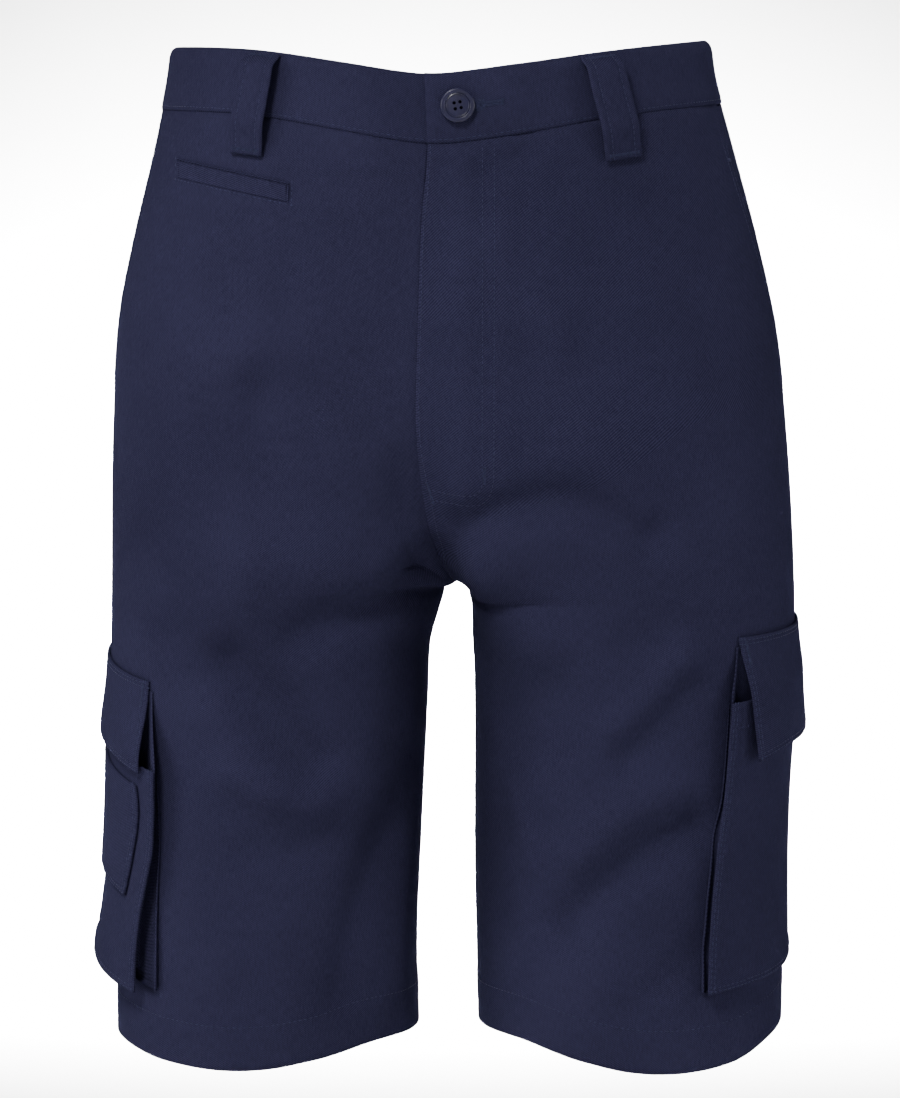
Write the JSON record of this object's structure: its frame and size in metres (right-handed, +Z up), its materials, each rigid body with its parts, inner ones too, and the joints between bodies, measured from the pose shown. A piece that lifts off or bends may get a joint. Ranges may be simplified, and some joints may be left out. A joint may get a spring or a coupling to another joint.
{
  "type": "cargo shorts",
  "caption": "Knee-length cotton drill cargo shorts, filled out as worn, with a buttoned waistband, belt loops, a lapped fly and a gusseted flap pocket on each leg",
  "frame": {"origin": "The middle of the waistband, where the wearer's waist holds the shorts up", "axes": "+Z up, the front faces -Y, +X is the viewer's right when facing the front"},
  "size_m": [0.4019, 0.2776, 0.559],
  "materials": {
    "drill": "navy cotton twill, matt with a faint diagonal line and a soft sheen",
    "button": "moulded navy plastic with a soft gloss",
    "thread": "navy sewing thread, a little lighter than the cloth"
  },
  "bodies": {
    "root": {"front_left": "drill", "back_left": "drill", "waistband_left": "drill", "pocket_facing_left": "drill", "cargo_bag_left": "drill", "cargo_gusset_left": "drill", "cargo_flap_left": "drill", "front_right": "drill", "back_right": "drill", "waistband_right": "drill", "pocket_facing_right": "drill", "cargo_bag_right": "drill", "cargo_gusset_right": "drill", "cargo_flap_right": "drill", "fly_shield": "drill", "welt_pocket": "drill", "phone_pocket": "drill", "belt_loop_front_left": "drill", "belt_loop_front_right": "drill", "belt_loop_back_left": "drill", "belt_loop_back_right": "drill", "belt_loop_back": "drill", "button": "button"}
  },
  "joints": []
}
